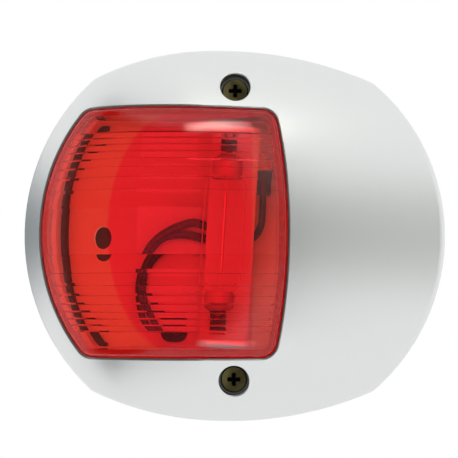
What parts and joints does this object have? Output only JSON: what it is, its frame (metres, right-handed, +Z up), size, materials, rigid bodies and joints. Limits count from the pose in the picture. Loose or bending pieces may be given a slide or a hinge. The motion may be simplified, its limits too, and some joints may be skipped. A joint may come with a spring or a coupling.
{
  "type": "navigation light",
  "caption": "Boat side light: a domed satin metal cover over a red fluted lens, with a base plate, festoon bulb, contacts, leads and a hull gasket.",
  "frame": {"origin": "centre of the outline on the back face that lies against the hull", "axes": "+Z up, +Y into the hull, -Y outwards through the lens, +X to the right as seen from in front"},
  "size_m": [0.1016, 0.0366, 0.0896],
  "materials": {
    "satin_metal": "satin plated, very fine grain",
    "red_lens": "clear red moulded plastic, polished outside",
    "black_rubber": "matt",
    "black_foam": "closed-cell foam, matt",
    "white_moulding": "fine satin moulding",
    "clear_glass": "clear",
    "filament_wire": "drawn wire",
    "plated_cap": "nickel plated",
    "bronze_strip": "rolled phosphor bronze",
    "brass_rivet": "plain",
    "dark_brass_screw": "oxidised, cross recess",
    "black_vinyl": "soft insulation"
  },
  "bodies": {
    "root": {"cover": "satin_metal", "lens": "red_lens", "lens_seal": "black_rubber", "base": "white_moulding", "hull_gasket": "black_foam", "bulb_carrier": "white_moulding", "bulb_glass": "clear_glass", "bulb_filament": "filament_wire", "upper_bulb_cap": "plated_cap", "lower_bulb_cap": "plated_cap", "upper_contact": "bronze_strip", "lower_contact": "bronze_strip", "upper_rivet": "brass_rivet", "lower_rivet": "brass_rivet", "upper_cover_screw": "dark_brass_screw", "lower_cover_screw": "dark_brass_screw", "upper_terminal": "brass_rivet", "lower_terminal": "brass_rivet", "upper_sleeve": "black_vinyl", "lower_sleeve": "black_vinyl", "lead_positive": "black_vinyl", "lead_negative": "black_vinyl", "wire_grommet": "black_rubber"}
  },
  "joints": []
}
